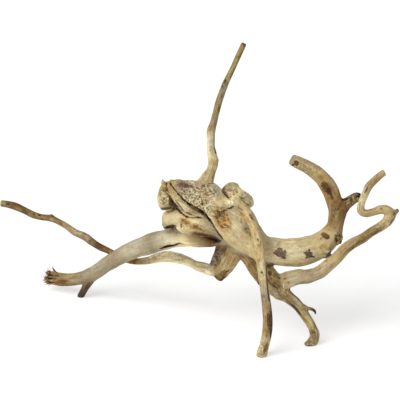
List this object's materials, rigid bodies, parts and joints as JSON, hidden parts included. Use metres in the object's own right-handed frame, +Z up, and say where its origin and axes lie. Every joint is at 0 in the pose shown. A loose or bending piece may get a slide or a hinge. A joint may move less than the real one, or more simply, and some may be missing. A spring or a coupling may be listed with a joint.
{
  "type": "spiderwood root",
  "caption": "Bare dried spiderwood root: a knotted core with crooked roots and twigs, standing on the ends of its legs, as aquarium decor.",
  "frame": {"origin": "centre of the bounding box on the floor that the root stands on", "axes": "+Z up, +X to the right along the root's length and +Y to the back, as seen in the reference view"},
  "size_m": [0.4094, 0.1833, 0.3106],
  "materials": {
    "root_wood": "bare dry wood, matt, with darker scars"
  },
  "bodies": {
    "root": {"spiderwood_root": "root_wood"}
  },
  "joints": []
}
